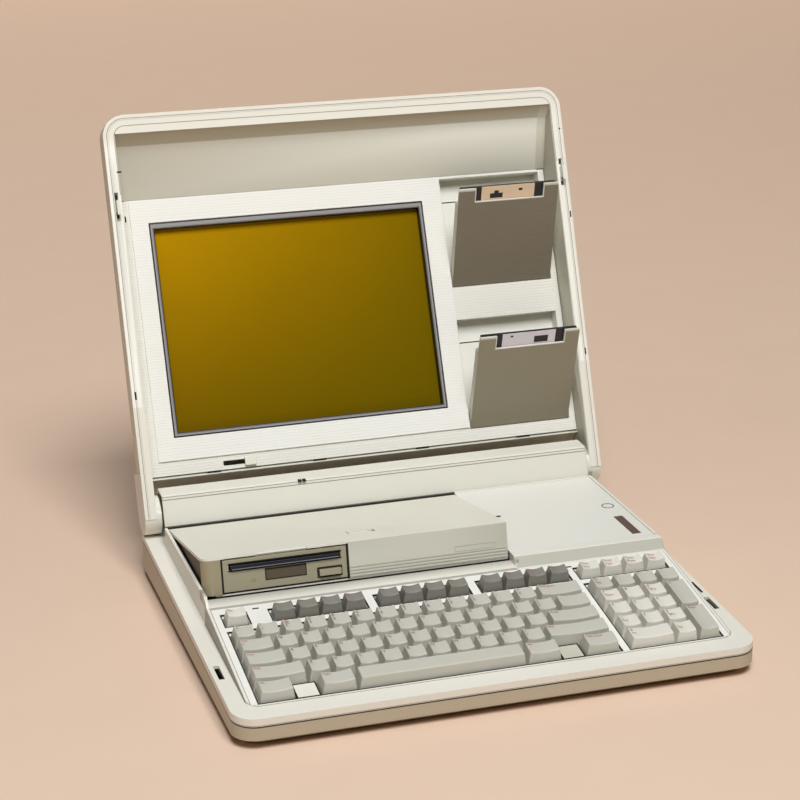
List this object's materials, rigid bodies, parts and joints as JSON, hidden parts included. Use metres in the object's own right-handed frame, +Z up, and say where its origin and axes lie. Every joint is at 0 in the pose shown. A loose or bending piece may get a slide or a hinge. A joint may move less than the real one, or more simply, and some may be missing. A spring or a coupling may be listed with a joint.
{
  "type": "portable computer",
  "caption": "Clamshell luggable computer: leaning display lid with disk pockets, raised drive pod, full keyboard with keypad.",
  "frame": {"origin": "on the table, under the middle of the bounding box of the open machine, from the front of the case to the back of the leaning lid", "axes": "+Z up, +X to the user's right, -Y towards the user; the lid stands open at the rear"},
  "size_m": [0.4166, 0.495, 0.3837],
  "materials": {
    "case_shell": "satin moulded plastic, fine texture",
    "case_top": "satin moulded plastic, fine texture",
    "panel": "satin moulded plastic, fine texture",
    "dark_plastic": "satin",
    "steel": "plated sheet",
    "rubber": "matte",
    "board": "solder mask",
    "chassis": "matte painted sheet",
    "drive_plastic": "satin",
    "lamp": "gloss lens",
    "disk_black": "satin",
    "screen_trim": "semi-gloss",
    "screen": "glossy amber display",
    "pocket": "satin moulded plastic",
    "key_white": "satin keycap",
    "key_dark": "satin keycap",
    "key_light": "satin keycap"
  },
  "bodies": {
    "case": {"bottom_case": "case_shell", "top_case": "case_top", "keyboard_panel": "panel", "deck_cover": "panel", "status_window": "dark_plastic", "hinge_cover": "case_top", "hinge_pins": "steel", "rubber_feet": "rubber", "main_board": "board", "power_supply": "steel", "battery_pack": "dark_plastic", "key_switch_plate": "dark_plastic", "rear_connectors": "dark_plastic", "rear_panel": "case_shell", "handle_brackets": "case_shell", "pod_pins": "steel", "key_fillers": "panel", "case_screws": "steel"},
    "lid": {"lid_shell": "case_shell", "lid_frame": "case_top", "display_panel": "panel", "pocket_tubs": "panel", "screen_bezel": "panel", "screen_trim": "screen_trim", "screen_glass": "screen", "display_module": "steel", "display_board": "board", "pocket_pins": "steel"},
    "drive_pod": {"pod_cover": "panel", "pod_tray": "chassis", "floppy_drive": "steel", "drive_bezel": "drive_plastic", "drive_lamp": "lamp", "hard_disk": "steel"},
    "eject": {"eject_button": "drive_plastic"},
    "loaded_disk": {"drive_diskette": "disk_black"},
    "pod_release": {"pod_latch": "panel"},
    "power": {"power_button": "dark_plastic"},
    "handle": {"carry_handle": "dark_plastic"},
    "contrast": {"contrast_slider": "panel"},
    "latch_left": {"lid_latch_left": "panel"},
    "latch_right": {"lid_latch_right": "panel"},
    "pocket_upper": {"upper_pocket": "pocket"},
    "pocket_lower": {"lower_pocket": "pocket"},
    "disk_upper": {"upper_diskette": "disk_black"},
    "disk_lower": {"lower_diskette": "disk_black"},
    "keys_escape": {"escape_key": "key_white"},
    "keys_function_left": {"function_keys_left": "key_dark"},
    "keys_function_middle": {"function_keys_middle": "key_dark"},
    "keys_function_right": {"function_keys_right": "key_dark"},
    "keys_number_row": {"number_row_keys": "key_light"},
    "keys_upper_row": {"upper_row_keys": "key_light"},
    "keys_home_row": {"home_row_keys": "key_light"},
    "keys_lower_row": {"lower_row_keys": "key_light"},
    "keys_bottom_row": {"bottom_row_keys": "key_light"},
    "keys_space_bar": {"space_bar": "key_light"},
    "keys_keypad_top": {"keypad_top_keys": "key_white"},
    "keys_keypad_gray": {"keypad_gray_keys": "key_light"},
    "keys_keypad_number": {"keypad_number_keys": "key_white"}
  },
  "joints": [
    {"name": "lid_hinge", "type": "hinge", "parent": "case", "child": "lid", "pos_m": [0, 0.09382, 0.0569], "axis": [1, 0, 0], "range_deg": [0, 112.7]},
    {"name": "pod_tilt", "type": "hinge", "parent": "case", "child": "drive_pod", "pos_m": [0, 0.05811, 0.04929], "axis": [1, 0, 0], "range_deg": [0, 10.5]},
    {"name": "upper_pocket_tilt", "type": "hinge", "parent": "lid", "child": "pocket_upper", "pos_m": [0.0976, 0.1709, 0.21666], "axis": [1, 0, 0], "range_deg": [-34.5, 0]},
    {"name": "lower_pocket_tilt", "type": "hinge", "parent": "lid", "child": "pocket_lower", "pos_m": [0.0976, 0.1209, 0.09807], "axis": [1, 0, 0], "range_deg": [-38.5, 0]},
    {"name": "upper_disk_slide", "type": "slide", "parent": "pocket_upper", "child": "disk_upper", "axis": [0, 0.2018, -0.9794], "range_m": [-0.09, 0]},
    {"name": "lower_disk_slide", "type": "slide", "parent": "pocket_lower", "child": "disk_lower", "axis": [0, 0.2696, -0.963], "range_m": [-0.09, 0]},
    {"name": "drive_disk_slide", "type": "slide", "parent": "drive_pod", "child": "loaded_disk", "axis": [0, 0.9833, -0.1822], "range_m": [-0.09, 0]},
    {"name": "eject_press", "type": "slide", "parent": "drive_pod", "child": "eject", "axis": [0, 0.9833, -0.1822], "range_m": [0, 0.003], "stiffness_N_per_m": 250, "springref_m": -0.004},
    {"name": "pod_release_slide", "type": "slide", "parent": "drive_pod", "child": "pod_release", "axis": [1, 0, 0], "range_m": [0, 0.005], "stiffness_N_per_m": 150, "springref_m": -0.003},
    {"name": "power_press", "type": "slide", "parent": "case", "child": "power", "axis": [-1, 0, 0], "range_m": [0, 0.003], "stiffness_N_per_m": 300, "springref_m": -0.003},
    {"name": "handle_swing", "type": "hinge", "parent": "case", "child": "handle", "pos_m": [0, 0.11904, 0.026], "axis": [1, 0, 0], "range_deg": [0, 95]},
    {"name": "contrast_slide", "type": "slide", "parent": "lid", "child": "contrast", "axis": [-1, 0, 0], "range_m": [0, 0.018]},
    {"name": "left_latch_slide", "type": "slide", "parent": "lid", "child": "latch_left", "axis": [0, 0.3469, 0.9379], "range_m": [0, 0.005], "stiffness_N_per_m": 120, "springref_m": -0.004},
    {"name": "right_latch_slide", "type": "slide", "parent": "lid", "child": "latch_right", "axis": [0, 0.3469, 0.9379], "range_m": [0, 0.005], "stiffness_N_per_m": 120, "springref_m": -0.004},
    {"name": "escape_press", "type": "slide", "parent": "case", "child": "keys_escape", "axis": [0, 0.1547, -0.988], "range_m": [0, 0.0035], "stiffness_N_per_m": 400, "springref_m": -0.004},
    {"name": "function_left_press", "type": "slide", "parent": "case", "child": "keys_function_left", "axis": [0, 0.1547, -0.988], "range_m": [0, 0.0035], "stiffness_N_per_m": 400, "springref_m": -0.004},
    {"name": "function_middle_press", "type": "slide", "parent": "case", "child": "keys_function_middle", "axis": [0, 0.1547, -0.988], "range_m": [0, 0.0035], "stiffness_N_per_m": 400, "springref_m": -0.004},
    {"name": "function_right_press", "type": "slide", "parent": "case", "child": "keys_function_right", "axis": [0, 0.1547, -0.988], "range_m": [0, 0.0035], "stiffness_N_per_m": 400, "springref_m": -0.004},
    {"name": "number_row_press", "type": "slide", "parent": "case", "child": "keys_number_row", "axis": [0, 0.1547, -0.988], "range_m": [0, 0.0035], "stiffness_N_per_m": 400, "springref_m": -0.004},
    {"name": "upper_row_press", "type": "slide", "parent": "case", "child": "keys_upper_row", "axis": [0, 0.1547, -0.988], "range_m": [0, 0.0035], "stiffness_N_per_m": 400, "springref_m": -0.004},
    {"name": "home_row_press", "type": "slide", "parent": "case", "child": "keys_home_row", "axis": [0, 0.1547, -0.988], "range_m": [0, 0.0035], "stiffness_N_per_m": 400, "springref_m": -0.004},
    {"name": "lower_row_press", "type": "slide", "parent": "case", "child": "keys_lower_row", "axis": [0, 0.1547, -0.988], "range_m": [0, 0.0035], "stiffness_N_per_m": 400, "springref_m": -0.004},
    {"name": "bottom_row_press", "type": "slide", "parent": "case", "child": "keys_bottom_row", "axis": [0, 0.1547, -0.988], "range_m": [0, 0.0035], "stiffness_N_per_m": 400, "springref_m": -0.004},
    {"name": "space_bar_press", "type": "slide", "parent": "case", "child": "keys_space_bar", "axis": [0, 0.1547, -0.988], "range_m": [0, 0.0035], "stiffness_N_per_m": 400, "springref_m": -0.004},
    {"name": "keypad_top_press", "type": "slide", "parent": "case", "child": "keys_keypad_top", "axis": [0, 0.1547, -0.988], "range_m": [0, 0.0035], "stiffness_N_per_m": 400, "springref_m": -0.004},
    {"name": "keypad_gray_press", "type": "slide", "parent": "case", "child": "keys_keypad_gray", "axis": [0, 0.1547, -0.988], "range_m": [0, 0.0035], "stiffness_N_per_m": 400, "springref_m": -0.004},
    {"name": "keypad_number_press", "type": "slide", "parent": "case", "child": "keys_keypad_number", "axis": [0, 0.1547, -0.988], "range_m": [0, 0.0035], "stiffness_N_per_m": 400, "springref_m": -0.004}
  ],
  "couplings": [
    {"joint": "pod_tilt", "follows": "lid_hinge", "ratio": 0.093167},
    {"joint": "upper_pocket_tilt", "follows": "lid_hinge", "ratio": -0.30612},
    {"joint": "lower_pocket_tilt", "follows": "lid_hinge", "ratio": -0.34161}
  ]
}
